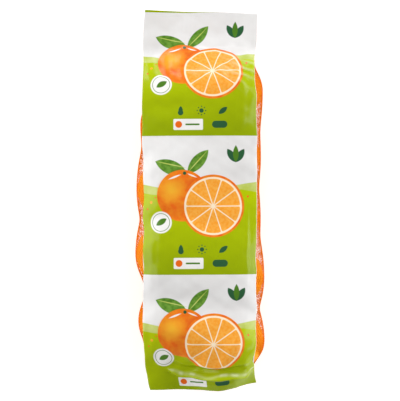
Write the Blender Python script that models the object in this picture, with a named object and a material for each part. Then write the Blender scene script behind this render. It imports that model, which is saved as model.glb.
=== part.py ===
"""A net of oranges: nine fruit in an orange knitted net, with one printed film down its front.

The pack lies on its back with the film up. +X is to the right and +Y is towards the pack's
top end. The origin is under the middle of the pack, on the surface that it lies on.
Both skins come from one rule. In each plane across the pack, the skin is the line that a
tight belt makes round the fruit cut there, and round the stiff flat film that runs on into
a sealed tongue at each end.
"""

import math

import bpy
import numpy as np

# The pack, in metres
PACK_LENGTH = 0.4065
FILM_WIDTH = 0.1225
FILM_THICKNESS = 0.0005
FILM_GAP = 0.0010
FILM_SHIFT = 0.0002

# The fruit: the middle of each orange along the pack and its radius, from the top end down.
# Each span says how far the net reaches past an orange before it falls away, in radii. The
# first is at the top end, then one for each gap in the column, and the last at the bottom end.
LEFT_X = -0.0330
LEFT_FRUIT = ((0.0805, 0.0301), (0.0110, 0.0341), (-0.0578, 0.0352), (-0.1295, 0.0322))
LEFT_SPANS = (1.0, 5.0, 3.7, 1.35, 1.1)
RIGHT_X = 0.0355
RIGHT_FRUIT = (
    (0.1160, 0.0320),
    (0.0466, 0.0301),
    (-0.0199, 0.0299),
    (-0.0826, 0.0336),
    (-0.1498, 0.0338),
)
RIGHT_SPANS = (1.1, 8.5, 7.3, 5.7, 2.9, 1.5)
TOP_SPAN = 4.0  # the least span under the film, which is stiffer than the net
UNDER_SPAN = 1.2  # the greatest span underneath, where the net hangs between the oranges
SINK = 0.0015  # how far the weight presses each orange into a flat spot
SOFTNESS = 0.0012  # radius of the blend where the skin leaves one orange for the next

# The stiff film: a flat beam across the pack, high on the shoulders and low at the tongues
TONGUE_HEIGHT = 0.0245
SHOULDER_HEIGHT = 0.0500
TOP_SHOULDER = 0.104
TOP_FOOT = 0.166
BOTTOM_SHOULDER = -0.136
BOTTOM_FOOT = -0.187
BEAM_HALF_THICKNESS = 0.0009
NET_BEAM_HALF_WIDTH = 0.0580
FILM_BEAM_HALF_WIDTH = 0.0650

# The loose ends: how they ripple, draw in, move aside and lose their square corners
END_START = 0.140  # distance from the middle at which the ends start to ripple
TOP_RIPPLE = 0.0030
TOP_NARROWING = 0.017
TOP_SIDEWAYS = 0.0018
TOP_SLANT = 0.0034
BOTTOM_RIPPLE = 0.0050
BOTTOM_NARROWING = 0.048
BOTTOM_SIDEWAYS = 0.0048
BOTTOM_LIFT = 0.0070
LIFT_START = 0.2  # share of the half width at which the bottom edge starts to rise
RIPPLE_LENGTH = 0.078

# The groove underneath, where the net is drawn up between the two columns of fruit
GROOVE_DEPTH = 0.011
GROOVE_HALF_WIDTH = 0.020
GROOVE_TOP = 0.120
GROOVE_BOTTOM = -0.170
GROOVE_FADE = 0.040
UNDERSIDE_HEIGHT = 0.020  # what lies lower than this belongs to the underside
UNDERSIDE_FADE = 0.008

# How finely the skins are faceted
BODY_STATIONS = 35
END_STATIONS = 14
NET_SIDES = 56
FILM_STRIPS = 24
DENSE_ANGLES = 1440


def smoothstep(values):
    """0 below 0, 1 above 1, and an S curve between."""
    t = np.clip(values, 0.0, 1.0)
    return t * t * (3.0 - 2.0 * t)


def fruit_list():
    """Each orange as x, y, z and radius, and its spans towards the top and the bottom end.

    Each span is three numbers: the net's at the side, the film's on top, and the net's
    underneath. At the ends of a column the three are the same.
    """
    fruit = []
    for x, column, spans in (
        (LEFT_X, LEFT_FRUIT, LEFT_SPANS),
        (RIGHT_X, RIGHT_FRUIT, RIGHT_SPANS),
    ):
        between = [(span, max(span, TOP_SPAN), min(span, UNDER_SPAN)) for span in spans[1:-1]]
        triples = [(spans[0],) * 3, *between, (spans[-1],) * 3]
        for (y, radius), above, below in zip(column, triples[:-1], triples[1:]):
            fruit.append((x, y, radius - SINK, radius, above, below))
    return fruit


def beam_height(y):
    """The height of the flat film across the pack at y."""
    foot, shoulder = (TOP_FOOT, TOP_SHOULDER) if y > 0 else (BOTTOM_FOOT, BOTTOM_SHOULDER)
    rise = smoothstep((y - foot) / (shoulder - foot))
    return TONGUE_HEIGHT + (SHOULDER_HEIGHT - TONGUE_HEIGHT) * rise


def section(y, beam_half_width, offset):
    """The skin's closed line in the plane at y, as x and z for each of many angles.

    The line is worked out from its support: for each direction, how far the furthest fruit
    or the film's beam reaches. A soft maximum joins them, and the line touches that support.
    """
    angles = np.linspace(-math.pi / 2, 1.5 * math.pi, DENSE_ANGLES, endpoint=False)
    across, up = np.cos(angles), np.sin(angles)
    upward, downward = np.clip(up, 0.0, 1.0) ** 2, np.clip(-up, 0.0, 1.0) ** 2
    reach = [beam_half_width * np.abs(across) + beam_height(y) * up + BEAM_HALF_THICKNESS]
    for x, middle, z, radius, above, below in fruit_list():
        side, top, under = above if y > middle else below
        span = side + (top - side) * upward + (under - side) * downward
        fall = (y - middle) ** 2 / (2 * radius * span)
        reach.append(x * across + z * up + radius - fall)
    reach = np.array(reach)
    highest = reach.max(axis=0)
    support = highest + SOFTNESS * np.log(np.exp((reach - highest) / SOFTNESS).sum(axis=0))
    support += offset
    step = angles[1] - angles[0]
    slope = (np.roll(support, -1) - np.roll(support, 1)) / (2 * step)
    return support * across - slope * up, support * up + slope * across


def spread(x, z, wanted_from):
    """Points along an open line at the distances that wanted_from gives for its whole length."""
    along = np.concatenate([[0.0], np.cumsum(np.hypot(np.diff(x), np.diff(z)))])
    wanted = wanted_from(along)
    return np.interp(wanted, along, x), np.interp(wanted, along, z)


def even_ring(x, z, count):
    """The closed line resampled evenly over its top half and over its bottom half."""
    quarter = len(x) // 4
    x, z = np.roll(x, -quarter), np.roll(z, -quarter)
    halves = []
    for half in (slice(0, 2 * quarter + 1), slice(2 * quarter, 4 * quarter + 1)):
        line_x, line_z = np.append(x, x[0])[half], np.append(z, z[0])[half]
        even = spread(line_x, line_z, lambda along: np.linspace(0, along[-1], count // 2 + 1))
        halves.append(np.column_stack(even)[:-1])
    return np.concatenate(halves)


def strip_over_top(x, z, count):
    """Points along the line that lie under the film, equally far apart, left edge first."""
    top = slice(len(x) // 4, 3 * len(x) // 4)
    x, z = x[top][::-1], z[top][::-1]
    edges = np.linspace(-FILM_WIDTH / 2, FILM_WIDTH / 2, count)
    return np.column_stack(spread(x, z, lambda along: np.interp(FILM_SHIFT, x, along) + edges))


def draw_up(points):
    """Draws the net's underside up between the two columns, with no step at the groove's rim."""
    x, y, z = points.T
    across = np.clip(1 - ((x - (LEFT_X + RIGHT_X) / 2) / GROOVE_HALF_WIDTH) ** 2, 0.0, 1.0) ** 2
    along = smoothstep((GROOVE_TOP - y) / GROOVE_FADE) * smoothstep((y - GROOVE_BOTTOM) / GROOVE_FADE)
    under = smoothstep((UNDERSIDE_HEIGHT - z) / UNDERSIDE_FADE)
    z = z + GROOVE_DEPTH * across * along * under
    return np.column_stack([x, y, z])


def bend_ends(points):
    """Ripples the two sealed tongues, draws them in and aside, and slants their edges."""
    x, y, z = points.T
    out = np.clip((np.abs(y) - END_START) / (PACK_LENGTH / 2 - END_START), 0.0, 1.0)
    share = smoothstep(out)
    at_top, at_bottom = share * (y > 0), share * (y < 0)
    ripple = TOP_RIPPLE * at_top + BOTTOM_RIPPLE * at_bottom
    z = z + ripple * np.sin(2 * math.pi * x / RIPPLE_LENGTH)
    half = FILM_WIDTH / 2
    y = y - TOP_SLANT * at_top * (x + half) / FILM_WIDTH
    y = y + BOTTOM_LIFT * at_bottom * smoothstep((x / half - LIFT_START) / (1 - LIFT_START))
    at_top, at_bottom = out**3 * (y > 0), out**3 * (y < 0)
    x = x * (1 - TOP_NARROWING * at_top - BOTTOM_NARROWING * at_bottom)
    x = x + TOP_SIDEWAYS * at_top + BOTTOM_SIDEWAYS * at_bottom
    return np.column_stack([x, y, z])


def stations():
    """The planes across the pack in which both skins are worked out, closer at the ends."""
    body = np.linspace(-END_START, END_START, BODY_STATIONS)
    end = np.linspace(END_START, PACK_LENGTH / 2, END_STATIONS)[1:]
    return np.concatenate([-end[::-1], body, end])


def plastic(name, colour, roughness):
    """A plain plastic of one colour, metallic value 0."""
    material = bpy.data.materials.new(name)
    material.use_nodes = True
    shader = material.node_tree.nodes["Principled BSDF"]
    shader.inputs["Base Color"].default_value = (*colour, 1.0)
    shader.inputs["Roughness"].default_value = roughness
    shader.inputs["Metallic"].default_value = 0.0
    return material


def mesh_object(name, points, faces, material):
    """A smooth-shaded object of these points and faces."""
    mesh = bpy.data.meshes.new(name)
    mesh.from_pydata(points.tolist(), [], faces)
    mesh.validate()
    mesh.shade_smooth()
    mesh.materials.append(material)
    obj = bpy.data.objects.new(name, mesh)
    bpy.context.scene.collection.objects.link(obj)
    return obj


def make_fruit_net(parent):
    """The net drawn tight round the fruit, as one closed body from seal to seal."""
    planes = stations()
    rings = []
    for y in planes:
        ring = even_ring(*section(y, NET_BEAM_HALF_WIDTH, 0.0), NET_SIDES)
        rings.append(np.insert(ring, 1, y, axis=1))
    points = bend_ends(draw_up(np.concatenate(rings)))
    points[:, 2] = np.maximum(points[:, 2], 0.0)
    faces = []
    for ring in range(len(planes) - 1):
        for side in range(NET_SIDES):
            near = ring * NET_SIDES + side
            beside = ring * NET_SIDES + (side + 1) % NET_SIDES
            faces.append((near, near + NET_SIDES, beside + NET_SIDES, beside))
    last = (len(planes) - 1) * NET_SIDES
    faces.append(tuple(range(NET_SIDES)))
    faces.append(tuple(range(last + NET_SIDES - 1, last - 1, -1)))
    net = mesh_object("fruit_net", points, faces, plastic("orange_net", (0.9, 0.28, 0.02), 0.5))
    net.parent = parent


def make_front_film(parent):
    """The printed film over the front, from cut end to cut end."""
    planes = stations()
    strips = []
    for y in planes:
        line = section(y, FILM_BEAM_HALF_WIDTH, FILM_GAP + FILM_THICKNESS)
        strips.append(np.insert(strip_over_top(*line, FILM_STRIPS + 1), 1, y, axis=1))
    points = bend_ends(np.concatenate(strips))
    faces = []
    for row in range(len(planes) - 1):
        for strip in range(FILM_STRIPS):
            corner = row * (FILM_STRIPS + 1) + strip
            above = corner + FILM_STRIPS + 1
            faces.append((corner, corner + 1, above + 1, above))
    film = mesh_object("front_film", points, faces, plastic("printed_film", (0.4, 0.5, 0.01), 0.3))
    thickness = film.modifiers.new("thickness", "SOLIDIFY")
    thickness.thickness = FILM_THICKNESS
    thickness.offset = -1.0
    film.parent = parent


def main():
    """Clears the scene and builds the pack under one empty."""
    for obj in list(bpy.data.objects):
        bpy.data.objects.remove(obj, do_unlink=True)
    pack = bpy.data.objects.new("net_of_oranges", None)
    bpy.context.scene.collection.objects.link(pack)
    make_fruit_net(pack)
    make_front_film(pack)


if __name__ == "__main__":
    main()
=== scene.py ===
"""A net of oranges, dressed over its frame: nine fruit, a knitted net, a printed film and a stage.

The frame's two solids, the filled net and the film over its front, follow one rule: in each
plane across the pack, the skin is the line that a tight belt makes round the fruit and round
the stiff film. The same rule is worked out here on a finer grid, and the real things lie on
it. Everything is in metres, with +X to the right, +Y to the pack's top end and +Z up.
"""

import math

import bpy
import mathutils
import numpy as np
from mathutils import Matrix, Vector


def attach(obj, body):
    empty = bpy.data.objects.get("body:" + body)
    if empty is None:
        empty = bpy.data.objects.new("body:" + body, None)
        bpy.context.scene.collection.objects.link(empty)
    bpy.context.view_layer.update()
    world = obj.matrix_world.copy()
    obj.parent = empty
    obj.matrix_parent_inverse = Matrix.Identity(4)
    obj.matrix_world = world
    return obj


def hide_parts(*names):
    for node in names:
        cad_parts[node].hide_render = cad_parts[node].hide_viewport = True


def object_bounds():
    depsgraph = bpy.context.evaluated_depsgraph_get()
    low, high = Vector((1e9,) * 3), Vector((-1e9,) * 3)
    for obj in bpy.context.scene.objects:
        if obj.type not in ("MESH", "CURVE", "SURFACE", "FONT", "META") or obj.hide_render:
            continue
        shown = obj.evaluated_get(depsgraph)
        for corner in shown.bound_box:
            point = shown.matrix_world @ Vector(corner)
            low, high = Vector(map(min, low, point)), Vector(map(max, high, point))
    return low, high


bl_info = {
    "name": "Net of Oranges",
    "version": (1, 0, 0),
    "blender": (4, 5, 0),
    "location": "View3D > Sidebar > Oranges",
    "description": "Fruit, knitted net, printed film, weld margins and stage for a pack of oranges",
    "category": "Add Mesh",
}

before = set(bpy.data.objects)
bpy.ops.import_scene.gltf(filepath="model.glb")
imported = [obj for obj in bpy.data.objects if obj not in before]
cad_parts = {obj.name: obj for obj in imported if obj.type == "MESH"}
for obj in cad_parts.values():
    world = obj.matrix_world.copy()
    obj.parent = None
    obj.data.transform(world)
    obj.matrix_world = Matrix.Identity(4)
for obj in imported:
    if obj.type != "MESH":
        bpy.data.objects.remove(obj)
CAD_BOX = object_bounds()
MM = 0.001

# The pack, as the frame has it
HALF_LENGTH = (CAD_BOX[1].y - CAD_BOX[0].y) / 2
FILM_WIDTH = 0.1225
FILM_OFFSET = 0.0015
FILM_SHIFT = 0.0002
LEFT_X = -0.0330
LEFT_FRUIT = ((0.0805, 0.0301), (0.0110, 0.0341), (-0.0578, 0.0352), (-0.1295, 0.0322))
LEFT_SPANS = (1.0, 5.0, 3.7, 1.35, 1.1)
RIGHT_X = 0.0355
RIGHT_FRUIT = (
    (0.1160, 0.0320),
    (0.0466, 0.0301),
    (-0.0199, 0.0299),
    (-0.0826, 0.0336),
    (-0.1498, 0.0338),
)
RIGHT_SPANS = (1.1, 8.5, 7.3, 5.7, 2.9, 1.5)
TOP_SPAN = 4.0
UNDER_SPAN = 1.2
SINK = 0.0015
SOFTNESS = 0.0012
TONGUE_HEIGHT = 0.0245
SHOULDER_HEIGHT = 0.0500
TOP_SHOULDER = 0.104
TOP_FOOT = 0.166
BOTTOM_SHOULDER = -0.136
BOTTOM_FOOT = -0.187
BEAM_HALF_THICKNESS = 0.0009
NET_BEAM_HALF_WIDTH = 0.0580
FILM_BEAM_HALF_WIDTH = 0.0650
END_START = 0.140
TOP_RIPPLE = 0.0030
TOP_NARROWING = 0.017
TOP_SIDEWAYS = 0.0018
TOP_SLANT = 0.0034
BOTTOM_RIPPLE = 0.0050
BOTTOM_NARROWING = 0.048
BOTTOM_SIDEWAYS = 0.0048
BOTTOM_LIFT = 0.0070
LIFT_START = 0.2
RIPPLE_LENGTH = 0.078
GROOVE_DEPTH = 0.011
GROOVE_HALF_WIDTH = 0.020
GROOVE_TOP = 0.120
GROOVE_BOTTOM = -0.170
GROOVE_FADE = 0.040
UNDERSIDE_HEIGHT = 0.020  # what lies lower than this belongs to the underside
UNDERSIDE_FADE = 0.008
BELT_ANGLES = 1440

# Where each run of random draws starts
FRUIT_SEED = 44
NET_SEED = 11
SLACK_SEED = 3
FOLD_SEED = 5
CREST_SEED = 6
CRUMPLE_SEED = 9

# The oranges: lumps, dimple, furrows and navel are shares of the radius, at angles from an end
PEEL_TO_NET = 0.0008  # how far the peel stays inside the net's skin
PEEL_RINGS = 96
PEEL_SIDES = 192
LUMPS = 0.012
LUMP_WAVES = 1.6  # how quickly the lumps change over the orange
DIMPLE_DEPTH = 0.045
DIMPLE_ANGLE = 0.17
FURROWS = 8
FURROW_DEPTH = 0.006
FURROW_ANGLE = 0.28
FURROW_REACH = 0.2
NAVEL_DEPTH = 0.050
NAVEL_ANGLE = 0.085
NAVEL_RIM = 0.012
NAVEL_RIM_PLACE = 2.1  # the rim's angle, as a multiple of the navel's own
CALYX_RADIUS = 0.0034
CALYX_RINGS = 8
CALYX_SIDES = 40
CALYX_LOBES = 5
CALYX_NOTCH = 0.22  # how deep the lobes are cut, as a share of its radius
CALYX_CROWN = 0.0010  # how high the button stands in its middle, and how far its rim sinks
CALYX_RIM = 0.0004
STEM_TILTS = (0.5, 2.4)  # the least and the most that a stem leans from upright
PRESS = 0.004  # the share by which oranges are pressed further than to a touch
DEEPEST_TONE = 0.6
GROUND_EASE = 0.0004  # the height over which the peel flattens onto the ground
BLUSH_SIZE = 0.035
GLAND_SPACING = 0.0014
GLAND_DEPTH = 0.00025
STEM_BROWN = (0.22, 0.05)  # the angles from the stem where the brown starts and is at its full
CALYX_FIBRE = 0.0012

# The net
NET_ENDS = 0.0035  # how far the net stops short of the film's cut ends
NET_OVERLAP = 0.0075  # how far the net runs on under each edge of the film
NET_GATHER = 0.035  # the share by which the net draws in under the film at both ends
NET_GATHER_START = 0.158
NET_GATHER_REACH = 0.022
NET_ROWS = 560
NET_COLUMNS = 400
CELL_LENGTH = 0.0054
CELL_DRIFT = 0.0022  # how far the cells slip along, and over which distance that changes
CELL_DRIFT_SIZE = 0.045
STRAND_STEP = 0.00070
STRAND_SIDES = 4
STRAND_BEND = 1.5  # above 1, strands run side by side for a while where they meet
STRAND_TOUCH = 0.45  # the share of the yarn's width left to each strand where two meet
STRAND_STRAY = 0.28  # how far a strand strays, as a share of the spacing, and over which distance
STRAND_STRAY_SIZE = 0.030
TWIST_LENGTH = 0.0052
TWIST_LAG = 2.4  # the turn from one strand's twist to the next one's
YARN_STREAK = 0.006
NET_PIECES = ("net_left", "net_under_left", "net_under_right", "net_right")

# The film
FILM_COLUMNS = 100
BODY_STEP = 0.0012  # distance between the film's rows, finer round the fold and in the seals
FOLD_STEP = 0.0004
SEAL_STEP = 0.0004
FILM_THICKNESS = 0.00012
SEAL_BAND = 0.0080
SEAL_RIB = 0.0016
FOLD_ZONE = -0.1700  # the fold lies between here and the lower seal
FOLD_LOW_X = 0.0120  # its lowest point, from where it rises on both sides
FOLD_LOW_Y = -0.1885
FOLD_CURVE = 3.6
FOLD_LEFT_END = -0.0360
FOLD_LEFT_REACH = 0.013  # the way over which the fold rises to its full height
FOLD_HELD = (0.042, 0.017)  # where it sinks flat again towards the right edge: start and reach
FOLD_WAVER = (0.0009, 0.026)  # how far its line wavers, and over which distance that changes
FOLD_RIDGE = (0.0012, 0.0025)  # how far above the fold's line its ridge lies, and its width
FOLD_DIP = (0.0070, 0.0036)  # the same for the dip above it
DIP_SHARES = (0.25, 0.90)  # the dip's depth as a share of the crease, shallow and sunk
DIP_START = (-0.016, 0.020)  # where the dip turns sunk and shallow again: start and reach
DIP_STOP = (0.038, 0.014)
FOLD_OVERHANG = 0.0010
FOLD_CRINKLES = ((0.0062, 0.0007, 0.0012), (0.0120, 0.0007, 0.0016))  # place, height and width
CREST = (0.0030, 0.00050)  # where above the fold's line its painted highlight lies, and how wide
CREST_WAVER = (0.0007, 0.017)
CREST_BREAKS = (0.35, 0.013)  # the least painted highlight along the crest, and the size of its breaks
# how strongly the fold's crest is paled: a painted highlight
CREST_HIGHLIGHT = 0.75
CRUMPLE_PLACE = (0.046, 0.139)  # crumpled film at the top's right corner
CRUMPLE_REACH = (0.017, 0.013)
CRUMPLE_HEIGHT = 0.00060
CRUMPLE_LENGTH = 0.0088
CRUMPLE_SLANT = 0.45
CRUMPLE_WAVER = (0.0015, 0.025)
# how strongly the crumples' crests are paled: a painted highlight
CRUMPLE_HIGHLIGHT = 0.45
CRUMPLE_CREST = (0.4, 0.6)  # how high on a crease the painted highlight starts, and its reach
FOOT_SPREAD = 0.030  # the share by which the fold spreads the film to both sides
FOOT_SPREAD_Y = -0.1785
FOOT_SPREAD_REACH = 0.0085
PLEATS = (  # height, slope's middle and reach, distance across, slant in radians a metre, start
    (0.00050, 0.142, 0.026, 0.017, 90.0, 0.0),
    (0.00055, -0.163, 0.020, 0.021, -140.0, 1.0),
)
SLACK = ((0.00028, 0.030), (0.00012, 0.011))  # height and size of the slack between the oranges
FLUTTER_HEIGHT = 0.0006
FLUTTER_LENGTH = 0.037
FLUTTER_EDGE = (0.044, 0.016)  # how far out the flutter starts, and its reach
FLUTTER_LAG = 2.2  # half the turn between the waves along the two edges
EDGE_CREASE_X = 0.0505  # a lengthwise crease near the film's right edge
EDGE_CREASE_Y = -0.040
EDGE_CREASE_REACH = 0.050
EDGE_CREASE_HEIGHT = 0.0005
EDGE_CREASE_WIDTH = 0.0018
SEAL_RIB_HEIGHT = 0.00010
SEAL_RIM = 0.0012
FOLD_TUCK = 0.0120  # how much film the fold takes up
FOLD_TUCK_LEAST = 0.15  # the share of it that is taken up left of the fold
FOLD_TUCK_FADE = (0.020, 0.004)  # how far that spreads across and along the pack
TOP_TUCK = 0.0045  # how much film the top's pleats take up
SOFT_CRINKLE = (0.0006, 0.007)  # height and size of the finest crinkles
PRINT_START_Y = 0.0671  # where a repeat of the print starts, down the film's middle
PRINT_REPEAT_MM = 145.9
PRINT_TILT = math.radians(0.2)
MARGIN_MM = 0.3  # the unprinted strip along the film's right edge
MARGIN_OFFSET = 0.0008  # how far the welded margins lie off the net's skin
MARGIN_UNDER = 0.0015  # how far they run on under the film
MARGIN_LEAST = 0.12  # the share of each margin's width that shows all the way down
LEFT_MARGIN_SHOWS = ((-0.060, 0.030, 1.2),)  # where more shows: the middle, reach and share
RIGHT_MARGIN_SHOWS = ((0.064, 0.036, 0.45), (-0.062, 0.014, 0.6))
MARGIN_ROWS = 420
MARGIN_COLUMNS = 9

# The camera, from the photo's frame
PHOTO_PX = (400, 401)
MIDDLE_PX = (199.5, 199.75)  # the photo's pixel over the pack's origin
FOCAL_PX = 1373.0
CAMERA_HEIGHT = 1.5
SENSOR_MM = 36.0

# The floor and the lights
FLOOR_SIZE = 8.0
FLOOR_GLOW = 0.5
WORLD_STRENGTH = 0.24
LIGHT_AIM = (0, 0, 0.03)
SOFTBOXES = (  # name, place, width, height and power
    ("key", (-1.35, 0.12, 0.62), 1.8, 1.2, 22.5),
    ("fill", (1.35, -0.10, 0.72), 1.8, 0.8, 19),
    ("top", (0.15, 2.40, 1.03), 2.5, 0.62, 36),
)


def linear(hex_colour):
    """The linear colour of an sRGB hex value such as #F08A1E."""
    value = np.array([int(hex_colour[at : at + 2], 16) for at in (1, 3, 5)]) / 255
    return tuple(np.where(value <= 0.04045, value / 12.92, ((value + 0.055) / 1.055) ** 2.4))


def opaque(colour):
    """The colour with full alpha, as a shader's colour socket takes it."""
    return (*colour, 1.0)


def shade(hex_colour):
    """The shader's colour of an sRGB hex value."""
    return opaque(linear(hex_colour))


def length_value(name, description, default, low, high):
    """A length for the panel, in metres, with its limits."""
    return bpy.props.FloatProperty(
        name=name, description=description, default=default, min=low, max=high, unit="LENGTH"
    )


def colour_value(name, description, hex_colour):
    """A colour for the panel, from its sRGB hex value."""
    return bpy.props.FloatVectorProperty(
        name=name, description=description, default=linear(hex_colour), subtype="COLOR"
    )


class OrangeNetSizes(bpy.types.PropertyGroup):
    """Sizes that can be changed without changing the frame."""

    wale_spacing: length_value(
        "Wale spacing", "Distance between the net's lengthwise strands", 0.00175, 0.0015, 0.008
    )
    yarn_width: length_value(
        "Yarn width", "Width of the flat tape yarn in the net", 0.0006, 0.0002, 0.002
    )
    yarn_thickness: length_value(
        "Yarn thickness", "Thickness of the twisted tape yarn", 0.00036, 0.0001, 0.002
    )
    weld_margin: length_value(
        "Weld margin", "How far the clear weld shows at its widest", 0.0012, 0.0, 0.008
    )
    crease_height: length_value(
        "Crease height", "Height of the fold above the film's lower seal", 0.0054, 0.0, 0.008
    )


class OrangeNetColours(bpy.types.PropertyGroup):
    """Colours of the fruit, the net and the inks."""

    peel: colour_value("Peel", "Ripe orange peel", "#FFA81A")
    yarn: colour_value("Yarn", "The net's yarn", "#EE770C")
    ground: colour_value("Ground", "The film's pale ground", "#E1DFDE")
    field: colour_value("Field", "The film's green field", "#B2C300")
    fruit_ink: colour_value("Fruit ink", "The printed fruit", "#E8691A")
    leaf_ink: colour_value("Leaf ink", "The printed leaves", "#4C7A24")
    dark_ink: colour_value("Dark ink", "The small dark marks", "#2C5A38")


def smoothstep(values):
    """0 below 0, 1 above 1, and an S curve between."""
    t = np.clip(values, 0.0, 1.0)
    return t * t * (3.0 - 2.0 * t)


def ramp(values, start, reach):
    """The S curve that rises from 0 at the start to 1 a reach further on."""
    return smoothstep((values - start) / reach)


def bell(values, middle=0.0, reach=1.0):
    """1 in the middle, falling away on both sides as exp(-d squared), d in reaches from it."""
    return np.exp(-(((values - middle) / reach) ** 2))


def fruit_list():
    """Each orange as x, y, z and radius, and its spans towards the top and the bottom end."""
    fruit = []
    for x, column, spans in (
        (LEFT_X, LEFT_FRUIT, LEFT_SPANS),
        (RIGHT_X, RIGHT_FRUIT, RIGHT_SPANS),
    ):
        between = [(span, max(span, TOP_SPAN), min(span, UNDER_SPAN)) for span in spans[1:-1]]
        triples = [(spans[0],) * 3, *between, (spans[-1],) * 3]
        for (y, radius), above, below in zip(column, triples[:-1], triples[1:]):
            fruit.append((x, y, radius - SINK, radius, above, below))
    return fruit


def beam_height(y):
    """The height of the stiff film across the pack at y: an S curve from shoulder to foot."""
    foot = np.where(y > 0, TOP_FOOT, BOTTOM_FOOT)
    shoulder = np.where(y > 0, TOP_SHOULDER, BOTTOM_SHOULDER)
    rise = smoothstep((y - foot) / (shoulder - foot))
    return TONGUE_HEIGHT + (SHOULDER_HEIGHT - TONGUE_HEIGHT) * rise


class Belt:
    """The belt's closed lines in the planes y, twice round each, with the distance along them.

    For each direction a, its support h(a) is how far the furthest orange or the film reaches,
    an orange reaching x cos a + z sin a + r - d squared / (2 r span), where d is how far its
    middle lies from the plane. A soft maximum joins them, and the line is
    (h cos a - h' sin a, h sin a + h' cos a).
    """

    def __init__(self, y, beam_half_width, offset):
        self.y = y
        angle = np.linspace(-math.pi / 2, 1.5 * math.pi, BELT_ANGLES, endpoint=False)
        across, up = np.cos(angle), np.sin(angle)
        upward, downward = np.clip(up, 0, 1) ** 2, np.clip(-up, 0, 1) ** 2
        rows = y[:, None]
        reach = [beam_half_width * np.abs(across) + beam_height(rows) * up + BEAM_HALF_THICKNESS]
        for x, middle, z, radius, above, below in fruit_list():
            side, top, under = [
                np.where(rows > middle, high, low) for high, low in zip(above, below)
            ]
            span = side + (top - side) * upward + (under - side) * downward
            fall = (rows - middle) ** 2 / (2 * radius * span)
            reach.append(x * across + z * up + radius - fall)
        highest = np.max(reach, axis=0)
        soft_sum = sum(np.exp((each - highest) / SOFTNESS) for each in reach)
        support = highest + SOFTNESS * np.log(soft_sum) + offset
        step = angle[1] - angle[0]
        slope = (np.roll(support, -1, axis=1) - np.roll(support, 1, axis=1)) / (2 * step)
        x = support * across - slope * up
        z = support * up + slope * across
        self.x, self.z = np.tile(x, 2), np.tile(z, 2)
        self.along = np.zeros_like(self.x)
        steps = np.hypot(np.diff(self.x), np.diff(self.z))
        self.along[:, 1:] = np.cumsum(steps, axis=1)
        self.length = self.along[:, BELT_ANGLES]
        top = slice(BELT_ANGLES // 4, 3 * BELT_ANGLES // 4)
        middle_x = np.full((len(y), 1), -FILM_SHIFT)
        self.middle = read_rows(-self.x[:, top], middle_x, self.along[:, top])[:, 0]

    def points(self, across):
        """The belt's points at these distances to the right of the film's middle line.

        Distances below zero run to the left, over the side and on underneath.
        """
        wanted = self.middle[:, None] - across
        x = read_rows(self.along, wanted, self.x)
        z = read_rows(self.along, wanted, self.z)
        return bend_ends(draw_up(vectors(x, self.y[:, None], z)))


def read_rows(keys, wanted, values):
    """Interpolates values over keys, row by row: the rows are read as one line, end to end."""
    shift = (np.arange(len(keys)) * (np.ptp(keys) + 1.0))[:, None]
    found = np.interp((wanted + shift).ravel(), (keys + shift).ravel(), values.ravel())
    return found.reshape(wanted.shape)


def draw_up(points):
    """Draws the net's underside up between the two columns, with no step at the groove's rim."""
    x, y, z = np.moveaxis(points, -1, 0)
    across = np.clip(1 - ((x - (LEFT_X + RIGHT_X) / 2) / GROOVE_HALF_WIDTH) ** 2, 0.0, 1.0) ** 2
    along = ramp(y, GROOVE_BOTTOM, GROOVE_FADE) * ramp(-y, -GROOVE_TOP, GROOVE_FADE)
    under = smoothstep((UNDERSIDE_HEIGHT - z) / UNDERSIDE_FADE)
    z = z + GROOVE_DEPTH * across * along * under
    return vectors(x, y, z)


def bend_ends(points):
    """Ripples the two sealed tongues, draws them in and aside, and slants their edges."""
    x, y, z = np.moveaxis(points, -1, 0)
    out = np.clip((np.abs(y) - END_START) / (HALF_LENGTH - END_START), 0.0, 1.0)
    share = smoothstep(out)
    at_top, at_bottom = share * (y > 0), share * (y < 0)
    ripple = TOP_RIPPLE * at_top + BOTTOM_RIPPLE * at_bottom
    z = z + ripple * np.sin(2 * math.pi * x / RIPPLE_LENGTH)
    half = FILM_WIDTH / 2
    y = y - TOP_SLANT * at_top * (x + half) / FILM_WIDTH
    y = y + BOTTOM_LIFT * at_bottom * smoothstep((x / half - LIFT_START) / (1 - LIFT_START))
    at_top, at_bottom = out**3 * (y > 0), out**3 * (y < 0)
    x = x * (1 - TOP_NARROWING * at_top - BOTTOM_NARROWING * at_bottom)
    x = x + TOP_SIDEWAYS * at_top + BOTTOM_SIDEWAYS * at_bottom
    return vectors(x, y, z)


def vectors(*parts):
    """Points or directions from their coordinates, which are spread out to one shape."""
    return np.stack(np.broadcast_arrays(*parts), axis=-1)


def unit(arrows):
    """The arrows at length one."""
    return arrows / np.maximum(np.linalg.norm(arrows, axis=-1, keepdims=True), 1e-12)


def outward(surface):
    """Unit normals of a surface of rows by columns: the cross product of its two slopes."""
    return unit(np.cross(np.gradient(surface, axis=1), np.gradient(surface, axis=0)))


def read_surface(surface, row, column):
    """Points or normals between the grid's own, by weights along its rows and columns."""
    low_row = np.clip(row.astype(int), 0, surface.shape[0] - 2)
    low_column = np.clip(column.astype(int), 0, surface.shape[1] - 2)
    up, right = (row - low_row)[..., None], (column - low_column)[..., None]
    near = surface[low_row, low_column] * (1 - right) + surface[low_row, low_column + 1] * right
    far = (
        surface[low_row + 1, low_column] * (1 - right)
        + surface[low_row + 1, low_column + 1] * right
    )
    return near * (1 - up) + far * up


def grid_quads(rows, columns, wrap=False):
    """Faces of a grid of rows by columns, its last column joined to its first if it wraps."""
    row = np.arange(rows - 1)[:, None] * columns
    column = np.arange(columns if wrap else columns - 1)[None, :]
    beside = (column + 1) % columns
    return np.stack(
        [row + column, row + beside, row + beside + columns, row + column + columns], axis=-1
    ).reshape(-1, 4)


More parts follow.
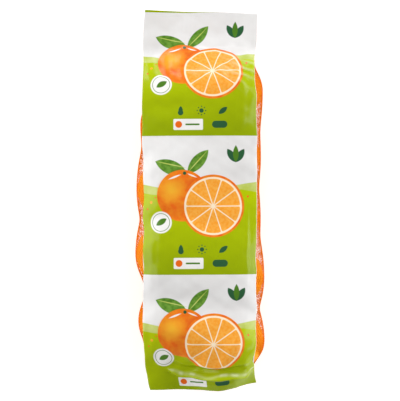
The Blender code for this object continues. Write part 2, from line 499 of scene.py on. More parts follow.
def mesh_piece(name, points, faces, materials):
    """A smooth-shaded object at the origin, made of these points and faces."""
    mesh = bpy.data.meshes.new(name)
    mesh.from_pydata(points.reshape(-1, 3), [], faces)
    mesh.update()
    mesh.shade_smooth()
    for material in materials:
        mesh.materials.append(material)
    piece = bpy.data.objects.new(name, mesh)
    bpy.context.scene.collection.objects.link(piece)
    return piece


def point_values(piece, name, values):
    """Stores one number for each point of the piece, for its material to read."""
    layer = piece.data.attributes.new(name, "FLOAT", "POINT")
    layer.data.foreach_set("value", np.ascontiguousarray(values, dtype=np.float32).ravel())


def join_frame(piece, node):
    """Makes the piece ride on the pack and stand for its solid."""
    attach(piece, "root")
    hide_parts(node)


def add(tree, kind, inputs=(), out=0, **settings):
    """Adds a node with its settings, links or fills its inputs, and returns one output."""
    node = tree.nodes.new(kind)
    for name, value in settings.items():
        setattr(node, name, value)
    pairs = inputs.items() if isinstance(inputs, dict) else enumerate(inputs)
    for key, value in pairs:
        if isinstance(value, bpy.types.NodeSocket):
            tree.links.new(value, node.inputs[key])
        elif value is not None:
            node.inputs[key].default_value = value
    return node.outputs[out]


def principled(name, **sockets):
    """A material of one Principled shader, with these values set on its sockets."""
    material = bpy.data.materials.new(name)
    material.use_nodes = True
    shader = material.node_tree.nodes["Principled BSDF"]
    for socket, value in sockets.items():
        shader.inputs[socket.replace("_", " ")].default_value = value
    return material, material.node_tree, shader


def blend(tree, share, low, high):
    """A colour between low and high."""
    return add(tree, "ShaderNodeMix", {0: share, 6: low, 7: high}, out=2, data_type="RGBA")


def waxy_peel(colours):
    """Orange peel: a waxed rind. Satin, with a dimpled skin of oil glands and an uneven blush.

    Each orange has a tone of its own, and its peel turns dull brown next to the stem.
    """
    material, tree, shader = principled(
        "waxed_orange_peel", Roughness=0.5, IOR=1.45, Specular_IOR_Level=0.05
    )
    place = add(tree, "ShaderNodeTexCoord", out="Object")
    blush = add(
        tree, "ShaderNodeTexNoise", {"Vector": place, "Scale": 1 / BLUSH_SIZE, "Detail": 2.0}
    )
    peel = blend(tree, blush, opaque(colours.peel), shade("#FFB32A"))
    tone = add(tree, "ShaderNodeAttribute", out="Fac", attribute_name="tone")
    peel = blend(tree, tone, peel, shade("#FA9A10"))
    polar = add(tree, "ShaderNodeAttribute", out="Fac", attribute_name="polar")
    near_stem = add(tree, "ShaderNodeMapRange", (polar, *STEM_BROWN, 0.0, 0.6))
    peel = blend(tree, near_stem, peel, shade("#C98A1E"))
    tree.links.new(peel, shader.inputs["Base Color"])
    cells = {"Vector": place, "Scale": 1 / GLAND_SPACING}
    glands = add(tree, "ShaderNodeTexVoronoi", cells, feature="SMOOTH_F1")
    relief = {"Strength": 0.55, "Distance": GLAND_DEPTH, "Height": glands}
    bump = add(tree, "ShaderNodeBump", relief)
    tree.links.new(bump, shader.inputs["Normal"])
    return material


def dry_calyx():
    """The button that the stem leaves: dry green-brown tissue, matt and fibrous."""
    material, tree, shader = principled("dry_stem_button", Roughness=0.8)
    place = add(tree, "ShaderNodeTexCoord", out="Object")
    fibres = add(tree, "ShaderNodeTexNoise", {"Vector": place, "Scale": 1 / CALYX_FIBRE})
    tissue = blend(tree, fibres, shade("#5E6A2A"), shade("#8C7A46"))
    tree.links.new(tissue, shader.inputs["Base Color"])
    return material


def tape_yarn(colours):
    """Polyethylene tape yarn: thin drawn film, twisted. Bright, a little waxy, softly shining."""
    material, tree, shader = principled(
        "drawn_polyethylene_yarn", Roughness=0.5, IOR=1.51, Specular_IOR_Level=0.03
    )
    place = add(tree, "ShaderNodeTexCoord", out="Object")
    drawn = add(
        tree, "ShaderNodeTexNoise", {"Vector": place, "Scale": 1 / YARN_STREAK, "Detail": 3.0}
    )
    yarn = blend(tree, drawn, opaque(colours.yarn), shade("#F88C18"))
    tree.links.new(yarn, shader.inputs["Base Color"])
    return material


def turn(points, first, second, third):
    """The points turned about the Z axis, about the Y axis and about the Z axis again."""
    for angle, (i, j) in ((first, (0, 1)), (second, (2, 0)), (third, (0, 1))):
        a, b = points[..., i].copy(), points[..., j].copy()
        points[..., i] = a * math.cos(angle) - b * math.sin(angle)
        points[..., j] = a * math.sin(angle) + b * math.cos(angle)
    return points


def orange_parts(radius, random):
    """The peel and the stem's button of one orange about its own middle, the stem up.

    The peel's radius is r times 1 + low waves, less a bell-shaped dimple at the stem and a
    narrow one with a raised rim at the navel, with faint furrows that run out of the dimple.
    The button is a shallow dome whose rim is a lobed rose.
    """
    polar = np.linspace(0, math.pi, PEEL_RINGS)[:, None]
    azimuth = np.linspace(0, 2 * math.pi, PEEL_SIDES, endpoint=False)[None, :]
    from_axis = np.sin(polar)
    direction = vectors(from_axis * np.cos(azimuth), from_axis * np.sin(azimuth), np.cos(polar))
    waves = random.normal(size=(5, 3)) * LUMP_WAVES
    phases = random.uniform(0, 2 * math.pi, len(waves))
    uneven = np.sin(direction @ waves.T + phases).mean(axis=-1)
    around_dimple = FURROW_DEPTH * bell(polar, FURROW_ANGLE, FURROW_REACH)
    furrows = around_dimple * np.cos(FURROWS * azimuth + phases[0])
    dimple = DIMPLE_DEPTH * bell(polar, 0, DIMPLE_ANGLE)
    from_navel = math.pi - polar
    navel = NAVEL_DEPTH * bell(from_navel, 0, NAVEL_ANGLE)
    navel_rim = NAVEL_RIM * bell(from_navel, NAVEL_RIM_PLACE * NAVEL_ANGLE, NAVEL_ANGLE)
    share = 1 + LUMPS * uneven + furrows - dimple - navel + navel_rim
    peel = direction * (radius * share)[..., None]

    out = np.linspace(0, 1, CALYX_RINGS)[:, None]
    around = np.linspace(0, 2 * math.pi, CALYX_SIDES, endpoint=False)[None, :]
    lobes = 1 - CALYX_NOTCH + CALYX_NOTCH * np.cos(CALYX_LOBES * around) * out
    rose = CALYX_RADIUS * out * lobes
    height = radius * (1 - DIMPLE_DEPTH) + CALYX_CROWN * (1 - out**2) - CALYX_RIM * out**2
    button = vectors(rose * np.cos(around), rose * np.sin(around), height)
    return peel, button, np.broadcast_to(polar, share.shape)


class ORANGENET_OT_fruit(bpy.types.Operator):
    """Makes the nine oranges, each pressed flat where it meets the next and the ground"""

    bl_idname = "orangenet.fruit"
    bl_label = "Oranges"

    def execute(self, context):
        colours = context.scene.orange_net_colours
        materials = (waxy_peel(colours), dry_calyx())
        floor = 2 * context.scene.orange_net_sizes.yarn_thickness
        random = np.random.default_rng(FRUIT_SEED)
        least, most = STEM_TILTS
        peel_faces = grid_quads(PEEL_RINGS, PEEL_SIDES, wrap=True)
        button_faces = grid_quads(CALYX_RINGS, CALYX_SIDES, wrap=True)
        peel_count = PEEL_RINGS * PEEL_SIDES
        for side, x, column in (("left", LEFT_X, LEFT_FRUIT), ("right", RIGHT_X, RIGHT_FRUIT)):
            places, radii = np.array(column).T
            meeting = np.minimum(1, -np.diff(places) / (radii[1:] + radii[:-1]))
            squeeze = np.minimum(np.append(1, meeting), np.append(meeting, 1)) - PRESS
            for number, (y, radius, press) in enumerate(zip(places, radii, squeeze), start=1):
                peel, button, polar = orange_parts(radius - PEEL_TO_NET, random)
                tilt = random.uniform((0, least, 0), (2 * math.pi, most, 2 * math.pi))
                points = np.concatenate([peel.reshape(-1, 3), button.reshape(-1, 3)])
                points = turn(points, *tilt)
                points[:, 1] *= press
                points += (x, y, radius - SINK)
                points[:, 2] = floor + soft_positive(points[:, 2] - floor)
                faces = np.concatenate([peel_faces, button_faces + peel_count])
                piece = mesh_piece(f"orange_{side}_{number}", points, faces, materials)
                marks = np.zeros(len(faces), dtype=np.int32)
                marks[len(peel_faces) :] = 1
                piece.data.polygons.foreach_set("material_index", marks)
                calyx = np.zeros(button.shape[:2])
                point_values(piece, "polar", np.concatenate([polar.ravel(), calyx.ravel()]))
                tone = random.uniform(0, DEEPEST_TONE)
                point_values(piece, "tone", np.full(len(points), tone))
                join_frame(piece, "fruit_net")
        return {"FINISHED"}


def soft_positive(values):
    """The values where they are above zero, easing into zero below it."""
    return (values + np.sqrt(values**2 + GROUND_EASE**2)) / 2


def net_surface():
    """The net's skin from one film edge round underneath to the other, as a fine grid."""
    rows = np.linspace(NET_ENDS - HALF_LENGTH, HALF_LENGTH - NET_ENDS, NET_ROWS)
    belt = Belt(rows, NET_BEAM_HALF_WIDTH, 0.0)
    covered = FILM_WIDTH / 2 - NET_OVERLAP
    share = np.linspace(0, 1, NET_COLUMNS)[None, :]
    across = -covered - share * (belt.length[:, None] - 2 * covered)
    surface = belt.points(across)
    near_end = ramp(np.abs(rows), NET_GATHER_START, NET_GATHER_REACH)
    surface[..., 0] *= 1 - NET_GATHER * near_end[:, None]
    return surface, np.max(belt.length) - 2 * covered


def tubes(paths, away, width, thickness, turns):
    """Closed tubes along the paths: an ellipse that turns slowly about the path, as yarn does.

    paths and away are (strands, points, 3), and turns is the ellipse's turn at each point. The
    wall's points are path + wide cos a (side turned) + thin sin a (up turned), for a few angles a.
    """
    forward = unit(np.gradient(paths, axis=1))
    beside = unit(np.cross(away, forward))
    above = np.cross(forward, beside)
    angle = 2 * math.pi * np.arange(STRAND_SIDES) / STRAND_SIDES
    wide, thin = width / 2 * np.cos(angle), thickness / 2 * np.sin(angle)
    cos_turn, sin_turn = np.cos(turns)[..., None], np.sin(turns)[..., None]
    side = wide * cos_turn - thin * sin_turn
    up = wide * sin_turn + thin * cos_turn
    wall = paths[:, :, None] + side[..., None] * beside[:, :, None]
    wall = wall + up[..., None] * above[:, :, None]
    strands, count = paths.shape[:2]
    quads = grid_quads(count, STRAND_SIDES, wrap=True)
    starts = np.arange(strands)[:, None, None] * count * STRAND_SIDES
    faces = (quads[None] + starts).reshape(-1, 4).tolist()
    first = np.arange(STRAND_SIDES)[None, ::-1] + starts[:, 0]
    last = np.arange(STRAND_SIDES)[None, :] + starts[:, 0] + (count - 1) * STRAND_SIDES
    return wall, faces + first.tolist() + last.tolist()


class ORANGENET_OT_net(bpy.types.Operator):
    """Knits the net: lengthwise strands that lean to one neighbour and then to the other"""

    bl_idname = "orangenet.net"
    bl_label = "Knitted net"

    def execute(self, context):
        sizes = context.scene.orange_net_sizes
        surface, girth = net_surface()
        normals = outward(surface)
        strands = round(girth / sizes.wale_spacing)
        count = round(2 * HALF_LENGTH / STRAND_STEP)
        number = np.arange(strands)[:, None]
        length = np.linspace(0, 2 * HALF_LENGTH, count)[None, :]
        random = np.random.default_rng(NET_SEED)
        around = number / strands * girth
        drift = CELL_DRIFT * uneven_field(around, length, CELL_DRIFT_SIZE, random)
        phase = 2 * math.pi * (length + drift) / CELL_LENGTH + math.pi * (number % 2)
        lean = np.clip(STRAND_BEND * np.sin(phase), -1, 1)
        # A strand's place round the net: its number + 0.5 + a clipped sine of the way along it
        close = 0.5 - STRAND_TOUCH * sizes.yarn_width / sizes.wale_spacing
        stray = STRAND_STRAY * uneven_field(around, length, STRAND_STRAY_SIZE, random)
        share = (number + 0.5 + close * lean + stray) / strands
        row = length / (2 * HALF_LENGTH) * (NET_ROWS - 1) + 0 * share
        column = np.clip(share, 0, 1) * (NET_COLUMNS - 1)
        paths = read_surface(surface, row, column)
        away = unit(read_surface(normals, row, column))
        paths[..., 2] = np.maximum(paths[..., 2], sizes.yarn_thickness)
        turns = 2 * math.pi * length / TWIST_LENGTH + TWIST_LAG * number
        yarn = (tape_yarn(context.scene.orange_net_colours),)
        groups = np.array_split(np.arange(strands), len(NET_PIECES))
        for name, group in zip(NET_PIECES, groups):
            wall, faces = tubes(
                paths[group], away[group], sizes.yarn_width, sizes.yarn_thickness, turns[group]
            )
            piece = mesh_piece(name, wall, faces, yarn)
            join_frame(piece, "fruit_net")
        return {"FINISHED"}


def uneven_field(across, along, size, random):
    """Smooth values from about -1 to 1 that change over this size: a sum of six slanted waves."""
    total = 0.0
    for angle, phase in zip(random.uniform(0, math.pi, 6), random.uniform(0, 2 * math.pi, 6)):
        wave = (math.cos(angle) * across + math.sin(angle) * along) * 2 * math.pi / size
        total = total + np.sin(wave * random.uniform(0.6, 1.4) + phase)
    return total / 2.5


def waver(across, along, height, size, random):
    """Lengths up to about this height that change smoothly over this size."""
    return height * uneven_field(across, along, size, random)


def film_rows():
    """The planes across the film, closest in the two ribbed seals, then round the fold."""
    inner = HALF_LENGTH - SEAL_BAND
    zones = (
        (-HALF_LENGTH, -inner, SEAL_STEP),
        (-inner, FOLD_ZONE, FOLD_STEP),
        (FOLD_ZONE, inner, BODY_STEP),
        (inner, HALF_LENGTH, SEAL_STEP),
    )
    rows = [
        np.linspace(low, high, round((high - low) / step), endpoint=False)
        for low, high, step in zones
    ]
    return np.append(np.concatenate(rows), HALF_LENGTH)


def past_fold(x, y):
    """How far above the fold's line each point lies: the line is a shallow parabola."""
    return y - FOLD_LOW_Y - FOLD_CURVE * (x - FOLD_LOW_X) ** 2


def film_taken_up(x, y):
    """How much more film lies between here and the middle than the skin's own length.

    The fold at the bottom and the pleats at the top take some up, and the top was cut askew,
    so less of the print is left towards its right corner.
    """
    fade_across, fade_along = FOLD_TUCK_FADE
    in_fold = ramp(x, FOLD_LEFT_END - fade_across / 2, fade_across)
    tuck = FOLD_TUCK * (FOLD_TUCK_LEAST + (1 - FOLD_TUCK_LEAST) * in_fold)
    tuck = tuck * ramp(-past_fold(x, y), -fade_along / 2, fade_along)
    at_top = ramp(y, END_START, HALF_LENGTH - END_START)
    pleats = TOP_TUCK * ramp(y, TOP_SHOULDER, HALF_LENGTH - TOP_SHOULDER)
    askew = TOP_SLANT * at_top * (x / FILM_WIDTH + 0.5)
    return pleats - askew - tuck


def fold_lines(x, y, across):
    """How far the fold runs, how high it stands and the way past its line, which wavers.

    It runs on to the right edge of the film, but sinks flat before it.
    """
    random = np.random.default_rng(FOLD_SEED)
    along = ramp(x, FOLD_LEFT_END, FOLD_LEFT_REACH)
    loose = 1 - ramp(across, *FOLD_HELD)
    return along, along * loose, past_fold(x, y) + waver(x, y, *FOLD_WAVER, random)


def crumple_lines(x, y):
    """How crumpled the film is at the top's right corner, and the wave of its slanted creases."""
    random = np.random.default_rng(CRUMPLE_SEED)
    share = bell(x, CRUMPLE_PLACE[0], CRUMPLE_REACH[0])
    share *= bell(y, CRUMPLE_PLACE[1], CRUMPLE_REACH[1])
    slanted = y + CRUMPLE_SLANT * x + waver(x, y, *CRUMPLE_WAVER, random)
    return share, np.sin(2 * math.pi * slanted / CRUMPLE_LENGTH)


def painted_crease_highlight(x, y, across):
    """How far the film's colour is paled as a painted highlight: on the fold's crest and the
    crumples'.
    """
    random = np.random.default_rng(CREST_SEED)
    along, _, wavy = fold_lines(x, y, across)
    wavy = wavy + waver(x, y, *CREST_WAVER, random)
    least, size = CREST_BREAKS
    broken = least + (1 - least) * smoothstep(0.5 + uneven_field(x, y, size, random))
    share, wave = crumple_lines(x, y)
    on_fold = CREST_HIGHLIGHT * along * bell(wavy, *CREST) * broken
    return on_fold + CRUMPLE_HIGHLIGHT * share * ramp(wave, *CRUMPLE_CREST)


def film_relief(x, y, across, crease_height):
    """How far the film's creases and ribs stand off its skin, in metres.

    It is a sum of pleats that fan out from the seals to the shoulders, slack between the
    oranges, a flutter along both edges, the fold above the lower seal with a dip and two
    crinkles above it, the crumpled corner, one lengthwise crease near the right edge and the
    ribs that the sealing jaws leave.
    """
    random = np.random.default_rng(SLACK_SEED)
    relief = 0.0
    for high, middle, reach, length, slant, start in PLEATS:
        wave = np.sin(2 * math.pi * x / length + slant * y + start)
        relief = relief + high * bell(y, middle, reach) * wave
    for high, size in SLACK:
        relief = relief + waver(x, y, high, size, random)
    wave = np.sin(2 * math.pi * y / FLUTTER_LENGTH + FLUTTER_LAG * np.sign(across))
    relief += FLUTTER_HEIGHT * ramp(np.abs(across), *FLUTTER_EDGE) * wave
    _, along, wavy = fold_lines(x, y, across)
    shallow, deep = DIP_SHARES
    sunk = ramp(x, *DIP_START) * (1 - ramp(across, *DIP_STOP))
    dip = (shallow + (deep - shallow) * sunk) * bell(wavy, *FOLD_DIP)
    crinkles = sum(high * bell(wavy, at, wide) for at, high, wide in FOLD_CRINKLES)
    relief += along * (crease_height * (bell(wavy, *FOLD_RIDGE) - dip) + crinkles)
    share, wave = crumple_lines(x, y)
    relief += CRUMPLE_HEIGHT * share * wave
    crease = EDGE_CREASE_HEIGHT * bell(across, EDGE_CREASE_X, EDGE_CREASE_WIDTH)
    relief += crease * bell(y, EDGE_CREASE_Y, EDGE_CREASE_REACH)
    in_seal = ramp(np.abs(y), HALF_LENGTH - SEAL_BAND, SEAL_RIM)
    return relief + SEAL_RIB_HEIGHT * in_seal * np.sin(2 * math.pi * y / SEAL_RIB)


def film_points(skin, across, crease_height):
    """The film's surface over its skin, creases included.

    At the fold it spreads to both sides, and the ridge hangs over towards the seal.
    """
    x, y = skin[..., 0], skin[..., 1]
    points = skin + outward(skin) * film_relief(x, y, across, crease_height)[..., None]
    points[..., 0] *= 1 + FOOT_SPREAD * bell(y, FOOT_SPREAD_Y, FOOT_SPREAD_REACH)
    _, along, wavy = fold_lines(x, y, across)
    points[..., 1] -= FOLD_OVERHANG * along * bell(wavy, *FOLD_RIDGE)
    return points


def chain(tree, kind, value, *steps):
    """Runs a value through math nodes, each step an operation and its further inputs."""
    for operation, *others in steps:
        value = add(tree, kind, (value, *others), operation=operation)
    return value


def distance(tree, place, middle):
    """How far the place is from a point."""
    return add(tree, "ShaderNodeVectorMath", (place, (*middle, 0)), 1, operation="DISTANCE")


def spot(tree, place, middle, radius, soft=0.25):
    """Ink inside a circle: where the distance from its middle is under its radius."""
    away = distance(tree, place, middle)
    return add(tree, "ShaderNodeMapRange", (away, radius + soft, radius - soft))


def ring(tree, place, middle, radius, half_width, soft=0.2):
    """Ink on a thin circle: where the distance from the circle is under half its width."""
    away = distance(tree, place, middle)
    off = chain(tree, "ShaderNodeMath", away, ("SUBTRACT", radius), ("ABSOLUTE",))
    return add(tree, "ShaderNodeMapRange", (off, half_width + soft, half_width - soft))


def slab(tree, place, middle, size, corner, soft=0.2):
    """Ink inside a rectangle with round corners: near enough to its sharp-cornered core."""
    core = (size[0] / 2 - corner, size[1] / 2 - corner, 0)
    steps = (
        ("SUBTRACT", (*middle, 0)),
        ("ABSOLUTE",),
        ("SUBTRACT", core),
        ("MAXIMUM", (0, 0, 0)),
    )
    off = chain(tree, "ShaderNodeVectorMath", place, *steps)
    off = add(tree, "ShaderNodeVectorMath", (off,), 1, operation="LENGTH")
    return add(tree, "ShaderNodeMapRange", (off, corner + soft, corner - soft))


def leaf(tree, place, tip, end, half_width, soft=0.25):
    """Ink inside a pointed leaf from tip to end: where two equal circles overlap."""
    tip, end = np.array(tip), np.array(end)
    length = np.linalg.norm(end - tip)
    radius = (length**2 / 4 + half_width**2) / (2 * half_width)
    shift = (radius - half_width) * np.array([tip[1] - end[1], end[0] - tip[0]]) / length
    offs = [distance(tree, place, (tip + end) / 2 + sign * shift) for sign in (1, -1)]
    off = add(tree, "ShaderNodeMath", offs, operation="MAXIMUM")
    return add(tree, "ShaderNodeMapRange", (off, radius + soft, radius - soft))


def below_hill(tree, place, level, height, length, start, soft=0.3):
    """Ink below a rolling line: where v is past level + height sin(2 pi u / length + start)."""
    u = add(tree, "ShaderNodeSeparateXYZ", (place,))
    v = add(tree, "ShaderNodeSeparateXYZ", (place,), 1)
    slope = 2 * math.pi / length
    steps = (("MULTIPLY_ADD", slope, start), ("SINE",), ("MULTIPLY_ADD", height, level))
    line = chain(tree, "ShaderNodeMath", u, *steps)
    past = add(tree, "ShaderNodeMath", (v, line), operation="SUBTRACT")
    return add(tree, "ShaderNodeMapRange", (past, -soft, soft))


def wedges(tree, place, middle, flesh_radius, count, gap, round_off=2.5):
    """Ink on the wedges of a cut fruit: where there is room to the pith and to the membranes.

    With r and a the place's polar coordinates, a folded into half a wedge, the room to the
    membrane is r sin(half wedge - |a|) - gap and the room to the pith is R - r. A smooth
    minimum of the two rounds the wedge's corners.
    """
    half = math.pi / count
    off = add(tree, "ShaderNodeVectorMath", (place, (*middle, 0)), operation="SUBTRACT")
    right = add(tree, "ShaderNodeSeparateXYZ", (off,))
    down = add(tree, "ShaderNodeSeparateXYZ", (off,), 1)
    away = add(tree, "ShaderNodeVectorMath", (off,), 1, operation="LENGTH")
    folded = (("ARCTAN2", right), ("FLOORED_MODULO", 2 * half), ("SUBTRACT", half), ("ABSOLUTE",))
    angle = chain(tree, "ShaderNodeMath", down, *folded)
    steps = (("SUBTRACT", angle), ("SINE",), ("MULTIPLY", away), ("SUBTRACT", gap))
    room = chain(tree, "ShaderNodeMath", half, *steps)
    to_pith = add(tree, "ShaderNodeMath", (flesh_radius, away), operation="SUBTRACT")
    room = add(tree, "ShaderNodeMath", (room, to_pith, round_off), operation="SMOOTH_MIN")
    return add(tree, "ShaderNodeMapRange", (room, -0.25, 0.25))


def wash(tree, place, size, low, high):
    """A watercolour wash: a colour that wanders between two, in blots of this size in mm."""
    blots = add(tree, "ShaderNodeTexNoise", {"Vector": place, "Scale": 1 / size, "Detail": 4.0})
    share = add(tree, "ShaderNodeMapRange", (blots, 0.35, 0.65))
    return blend(tree, share, low, high)


def print_place(tree, developed):
    """The place on the print in mm: u from the film's middle, v down from each repeat's start.

    developed holds the film's length, flattened out, and how far up it a repeat starts.
    """
    film_map = add(tree, "ShaderNodeUVMap", uv_map="print")
    spread = (FILM_WIDTH / MM, -developed[0] / MM, 0)
    start = (-FILM_WIDTH / MM / 2, developed[1] / MM, 0)
    flat = add(tree, "ShaderNodeVectorMath", (film_map, spread, start), operation="MULTIPLY_ADD")
    tilt = {"Vector": flat, "Angle": PRINT_TILT}
    turned = add(tree, "ShaderNodeVectorRotate", tilt, rotation_type="Z_AXIS")
    high, low = (500, PRINT_REPEAT_MM, 1), (-500, 0, -1)
    return flat, add(tree, "ShaderNodeVectorMath", (turned, high, low), operation="WRAP")


def printed_film(colours, developed):
    """Laminated polyethylene film, printed in a repeat: soft gloss over clean flat inks.

    Its drawing is a general one: hills under a pale sky, a whole orange and a cut one, two
    leaves, a blank seal and a row of small signs. Each ink is a shape, its values and a tint,
    laid over those before it.
    """
    material, tree, shader = principled(
        "laminated_printed_film", Roughness=0.2, IOR=1.5, Specular_IOR_Level=0.18
    )
    flat, place = print_place(tree, developed)
    field, fruit = opaque(colours.field), opaque(colours.fruit_ink)
    green, dark = opaque(colours.leaf_ink), opaque(colours.dark_ink)
    white = shade("#F0EEEB")
    far_hill = wash(tree, place, 14, shade("#C9D27A"), shade("#B7C654"))
    down = add(tree, "ShaderNodeSeparateXYZ", (place,), 1)
    depth = add(tree, "ShaderNodeMapRange", (down, 60, PRINT_REPEAT_MM))
    near_hill = blend(tree, depth, field, shade("#90A402"))
    skin = wash(tree, place, 8, fruit, shade("#EE8B22"))
    juice = wash(tree, place, 3, shade("#F49A2C"), shade("#F7B04A"))
    leaf_wash = wash(tree, place, 5, green, shade("#6E9A3A"))
    whole, cut, stem, seal = (-18, 63), (14, 74), (-13, 40), (-41, 91)
    label, pill, sun = (-12, 134), (21, 134), (2, 119.5)

    inks = [
        (below_hill, (53, 5, 170, 1.9), far_hill),
        (below_hill, (59, 3.5, 128, 3.4), near_hill),
        (leaf, (stem, (-47, 27), 7.5), leaf_wash),
        (leaf, ((-14, 34), (-46, 27), 0.5), far_hill),
        (leaf, (stem, (9, 15), 6.5), leaf_wash),
        (leaf, ((-12, 38), (7, 17), 0.5), far_hill),
        (spot, (whole, 27), skin),
        (spot, ((-30, 57), 9, 7), shade("#F2B030")),
        (spot, ((-5, 53), 6, 6), shade("#D8501E")),
        (leaf, ((-33, 46), (-20, 41), 0.9), white),
        (leaf, (stem, (-3, 44), 0.7), white),
        (spot, ((-16, 39.5), 1.8), dark),
        (spot, (cut, 33), skin),
        (spot, (cut, 30.5), shade("#FBE7C8")),
        (wedges, (cut, 28.5, 10, 0.55), juice),
        (spot, (cut, 2.0, 0.6), shade("#FBE7C8")),
        (spot, ((-52, 70), 1.6), shade("#F2B030")),
        (spot, ((-56, 77), 1.0), fruit),
        (spot, ((-47, 65), 0.8), fruit),
        (spot, ((51, 64), 1.2), fruit),
        (spot, (seal, 11.5), white),
        (ring, (seal, 9.3, 0.3), green),
        (leaf, ((-46, 94), (-35, 87), 3.0), green),
        (slab, (label, (31, 11.5), 1.2), white),
        (spot, ((-22, 134), 3.6), fruit),
        (slab, ((-7.5, 134), (15, 1.8), 0.9), green),
        (slab, (pill, (16, 7.4), 3.7), dark),
        (spot, ((-20, 121.5), 2.9), dark),
        (leaf, ((-20, 114.5), (-20, 123.5), 2.3), dark),
        (spot, (sun, 2.3), dark),
        (leaf, ((20, 123), (29, 116), 2.6), dark),
        (leaf, ((38, 28), (29, 14), 3.6), dark),
        (leaf, ((38, 28), (47, 14), 3.6), dark),
        (leaf, ((38, 28), (38, 10), 3.0), green),
    ]
    for angle in np.arange(8) * math.pi / 4:
        ray = (sun[0] + 4.4 * math.cos(angle), sun[1] + 4.4 * math.sin(angle))
        inks.append((spot, (ray, 0.65), dark))
    colour = wash(tree, place, 30, opaque(colours.ground), shade("#E6E5E4"))
    for shape, values, tint in inks:
        colour = blend(tree, shape(tree, place, *values), colour, tint)
    across = add(tree, "ShaderNodeSeparateXYZ", (flat,))
    edge = FILM_WIDTH / MM / 2 - MARGIN_MM
    margin = add(tree, "ShaderNodeMapRange", (across, edge - 0.2, edge + 0.2))
    colour = blend(tree, margin, colour, white)
    # Painted highlight: the film's colour is paled towards a light green-white on the creases'
    # crests.
    painted_highlight = add(tree, "ShaderNodeAttribute", out="Fac", attribute_name="painted_highlight")
    colour = blend(tree, painted_highlight, colour, shade("#DFE6BC"))
    tree.links.new(colour, shader.inputs["Base Color"])
    on_pack = add(tree, "ShaderNodeTexCoord", out="Object")
    crinkles = {"Vector": on_pack, "Scale": 1 / SOFT_CRINKLE[1], "Detail": 3.0}
    crinkles = add(tree, "ShaderNodeTexNoise", crinkles)
    relief = {"Strength": 0.15, "Distance": SOFT_CRINKLE[0], "Height": crinkles}
    bump = add(tree, "ShaderNodeBump", relief)
    tree.links.new(bump, shader.inputs["Normal"])
    return material


def washed(name, size, low, high, **sockets):
    """A material whose colour wanders between two, in blots of this size in metres."""
    material, tree, shader = principled(name, **sockets)
    place = add(tree, "ShaderNodeTexCoord", out="Object")
    colour = wash(tree, place, size, shade(low), shade(high))
    tree.links.new(colour, shader.inputs["Base Color"])
    return material


def film_back():
    """The laminate's inner side: milky white polyethylene, soft and dull."""
    return washed("milky_laminate_back", 0.02, "#DEDCD8", "#E9E8E5", Roughness=0.5, IOR=1.5)


def weld_margin():
    """Unprinted, heat-welded film: milky and half clear, with the net's colour showing through."""
    sockets = {"Roughness": 0.3, "IOR": 1.5, "Alpha": 0.75, "Specular_IOR_Level": 0.2}
    return washed("welded_clear_film", 0.004, "#E4DAD8", "#F2EEEC", **sockets)


def lit_floor():
    """White acrylic board, lit from below so that it shows no shadow edges."""
    sockets = {"Emission_Color": opaque((1, 1, 1)), "Emission_Strength": FLOOR_GLOW}
    return washed("lit_white_acrylic", 0.4, "#E4E4E4", "#E8E8E8", Roughness=0.85, **sockets)


def thicken(piece, thickness, inner_material=0):
    """Gives a sheet its thickness, down from the side it was made on."""
    solid = piece.modifiers.new("thickness", "SOLIDIFY")
    solid.thickness = thickness
    solid.offset = -1.0
    solid.material_offset = inner_material


class ORANGENET_OT_film(bpy.types.Operator):
    """Lays the printed film over the front, from cut end to cut end"""

    bl_idname = "orangenet.film"
    bl_label = "Printed film"

    def execute(self, context):
        belt = Belt(film_rows(), FILM_BEAM_HALF_WIDTH, FILM_OFFSET)
        share = np.linspace(0, 1, FILM_COLUMNS)[None, :]
        across = (share - 0.5) * FILM_WIDTH + 0 * belt.y[:, None]
        skin = belt.points(across)
        points = film_points(skin, across, context.scene.orange_net_sizes.crease_height)
        middle = belt.points(0 * belt.y[:, None])[:, 0]
        steps = np.linalg.norm(np.diff(middle, axis=0), axis=1)
        length = np.concatenate([[0], np.cumsum(steps)])
        developed = (length[-1], np.interp(PRINT_START_Y, middle[:, 1], length))
        materials = (printed_film(context.scene.orange_net_colours, developed), film_back())
        faces = grid_quads(*points.shape[:2])
        film = mesh_piece("printed_front", points, faces, materials)
        print_map = film.data.uv_layers.new(name="print")
        corners = np.empty(len(film.data.loops), dtype=np.int32)
        film.data.loops.foreach_get("vertex_index", corners)
        along = length[:, None] + film_taken_up(skin[..., 0], skin[..., 1])
        flat = vectors(share, along / length[-1]).reshape(-1, 2)
        print_map.uv.foreach_set("vector", flat[corners].astype(np.float32).ravel())
        # The painted highlight on the creases' crests, one value for each point.
        point_values(film, "painted_highlight", painted_crease_highlight(skin[..., 0], skin[..., 1], across))
        thicken(film, FILM_THICKNESS, inner_material=1)
        join_frame(film, "front_film")
        return {"FINISHED"}


class ORANGENET_OT_margins(bpy.types.Operator):
    """Welds the film's clear margins to the net along both sides"""

    bl_idname = "orangenet.margins"
    bl_label = "Weld margins"

    def execute(self, context):
        rows = np.linspace(NET_ENDS - HALF_LENGTH, HALF_LENGTH - NET_ENDS, MARGIN_ROWS)
        belt = Belt(rows, NET_BEAM_HALF_WIDTH, MARGIN_OFFSET)
        width = context.scene.orange_net_sizes.weld_margin
        material = (weld_margin(),)
        sides = (("left", -1, LEFT_MARGIN_SHOWS), ("right", 1, RIGHT_MARGIN_SHOWS))
        for side, sign, shows in sides:
            share = np.linspace(0, 1, MARGIN_COLUMNS)[None, :]
            more = sum(extra * bell(rows, middle, reach) for middle, reach, extra in shows)
            shown = width * (MARGIN_LEAST + more)[:, None]
            reach = FILM_WIDTH / 2 - MARGIN_UNDER + share * (shown + MARGIN_UNDER)
            points = belt.points(sign * reach)
            faces = grid_quads(*points.shape[:2])
            if sign < 0:
                faces = faces[:, ::-1]
            piece = mesh_piece(f"weld_margin_{side}", points, faces, material)
            thicken(piece, FILM_THICKNESS)
            join_frame(piece, "fruit_net")
        return {"FINISHED"}


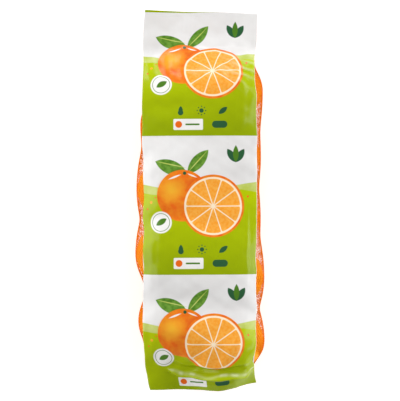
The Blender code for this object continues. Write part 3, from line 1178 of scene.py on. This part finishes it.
def softbox(name, place, width, height, power):
    """An oblong studio light that faces the pack."""
    lamp = bpy.data.lights.new(name, "AREA")
    lamp.shape = "RECTANGLE"
    lamp.size, lamp.size_y = width, height
    lamp.energy = power
    light = bpy.data.objects.new(name, lamp)
    light.location = place
    toward = mathutils.Vector(LIGHT_AIM) - light.location
    light.rotation_euler = toward.to_track_quat("-Z", "Y").to_euler()
    bpy.context.scene.collection.objects.link(light)


class ORANGENET_OT_stage(bpy.types.Operator):
    """Sets the pale floor, the soft lights and the camera that looks straight down"""

    bl_idname = "orangenet.stage"
    bl_label = "Stage"

    def execute(self, context):
        corners = np.array([(-1, -1, 0), (1, -1, 0), (1, 1, 0), (-1, 1, 0)]) * FLOOR_SIZE / 2
        floor = mesh_piece("floor", corners, np.array([[0, 1, 2, 3]]), (lit_floor(),))
        for name, place, width, height, power in SOFTBOXES:
            softbox(name, place, width, height, power)
        world = bpy.data.worlds.new("studio")
        world.use_nodes = True
        background = world.node_tree.nodes["Background"]
        background.inputs["Color"].default_value = (1, 1, 1, 1)
        background.inputs["Strength"].default_value = WORLD_STRENGTH
        context.scene.world = world
        context.scene.view_settings.view_transform = "Standard"
        lens = bpy.data.cameras.new("photo_camera")
        lens.sensor_width = SENSOR_MM
        lens.lens = FOCAL_PX * SENSOR_MM / max(PHOTO_PX)
        camera = bpy.data.objects.new("photo_camera", lens)
        metres_per_px = CAMERA_HEIGHT / FOCAL_PX
        camera.location = (
            (PHOTO_PX[0] / 2 - MIDDLE_PX[0]) * metres_per_px,
            (MIDDLE_PX[1] - PHOTO_PX[1] / 2) * metres_per_px,
            CAMERA_HEIGHT,
        )
        context.scene.collection.objects.link(camera)
        context.scene.camera = camera
        return {"FINISHED"}


class ORANGENET_PT_panel(bpy.types.Panel):
    """Lists the makers of the pack's pieces, with their sizes and colours"""

    bl_idname = "ORANGENET_PT_panel"
    bl_label = "Net of oranges"
    bl_space_type = "VIEW_3D"
    bl_region_type = "UI"
    bl_category = "Oranges"

    def draw(self, context):
        for maker in MAKERS:
            self.layout.operator(maker.bl_idname)
        for group in (context.scene.orange_net_sizes, context.scene.orange_net_colours):
            column = self.layout.column()
            for name in group.bl_rna.properties.keys():
                if name not in ("rna_type", "name"):
                    column.prop(group, name)


MAKERS = (
    ORANGENET_OT_fruit,
    ORANGENET_OT_net,
    ORANGENET_OT_margins,
    ORANGENET_OT_film,
    ORANGENET_OT_stage,
)
CLASSES = (OrangeNetSizes, OrangeNetColours, *MAKERS, ORANGENET_PT_panel)


def register():
    """Registers the classes, and hangs the two groups of values on the scene."""
    for each in CLASSES:
        bpy.utils.register_class(each)
    bpy.types.Scene.orange_net_sizes = bpy.props.PointerProperty(type=OrangeNetSizes)
    bpy.types.Scene.orange_net_colours = bpy.props.PointerProperty(type=OrangeNetColours)


def unregister():
    """Takes the groups and the classes away again."""
    del bpy.types.Scene.orange_net_colours
    del bpy.types.Scene.orange_net_sizes
    for each in reversed(CLASSES):
        bpy.utils.unregister_class(each)


def main():
    """Makes every piece in order."""
    register()
    bpy.ops.orangenet.fruit()
    bpy.ops.orangenet.net()
    bpy.ops.orangenet.margins()
    bpy.ops.orangenet.film()
    bpy.ops.orangenet.stage()


if __name__ == "__main__":
    main()
